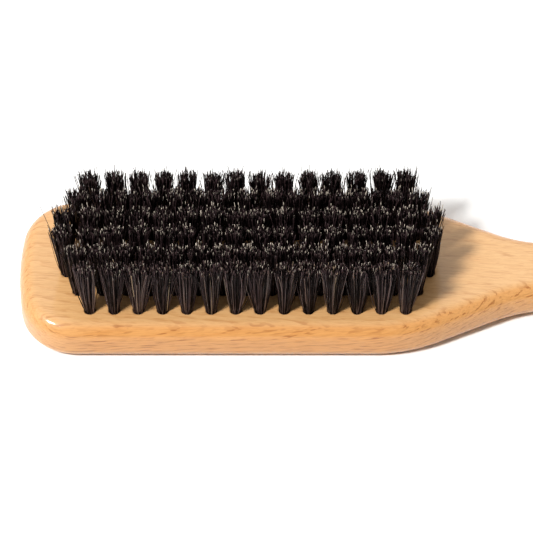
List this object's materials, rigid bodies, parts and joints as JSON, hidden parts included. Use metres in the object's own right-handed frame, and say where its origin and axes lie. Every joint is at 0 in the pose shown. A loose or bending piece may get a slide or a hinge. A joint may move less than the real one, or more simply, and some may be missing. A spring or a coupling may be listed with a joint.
{
  "type": "fade brush",
  "caption": "Paddle-shaped wooden barber brush with a slim handle and staggered rows of dark bristle tufts held in drilled holes by hidden wire anchors.",
  "frame": {"origin": "centre of the footprint, on the flat back that the brush lies on", "axes": "+X along the brush towards the handle's end, +Z out of the wood towards the bristle tips, +Y across the head"},
  "size_m": [0.225, 0.0516, 0.0315],
  "materials": {
    "lacquered_beech": "clear gloss lacquer over fine-grained beech",
    "bristle": "dark brown-black natural bristle, slightly glossy, with a few lighter hairs",
    "anchor_wire": "drawn flat steel wire"
  },
  "bodies": {
    "root": {"beech_paddle": "lacquered_beech", "tufts_row_1_toe": "bristle", "tufts_row_1_middle": "bristle", "tufts_row_1_heel": "bristle", "anchors_row_1": "anchor_wire", "tufts_row_2_toe": "bristle", "tufts_row_2_middle": "bristle", "tufts_row_2_heel": "bristle", "anchors_row_2": "anchor_wire", "tufts_row_3_toe": "bristle", "tufts_row_3_middle": "bristle", "tufts_row_3_heel": "bristle", "anchors_row_3": "anchor_wire", "tufts_row_4_toe": "bristle", "tufts_row_4_middle": "bristle", "tufts_row_4_heel": "bristle", "anchors_row_4": "anchor_wire", "tufts_row_5_toe": "bristle", "tufts_row_5_middle": "bristle", "tufts_row_5_heel": "bristle", "anchors_row_5": "anchor_wire", "tufts_row_6_toe": "bristle", "tufts_row_6_middle": "bristle", "tufts_row_6_heel": "bristle", "anchors_row_6": "anchor_wire"}
  },
  "joints": []
}
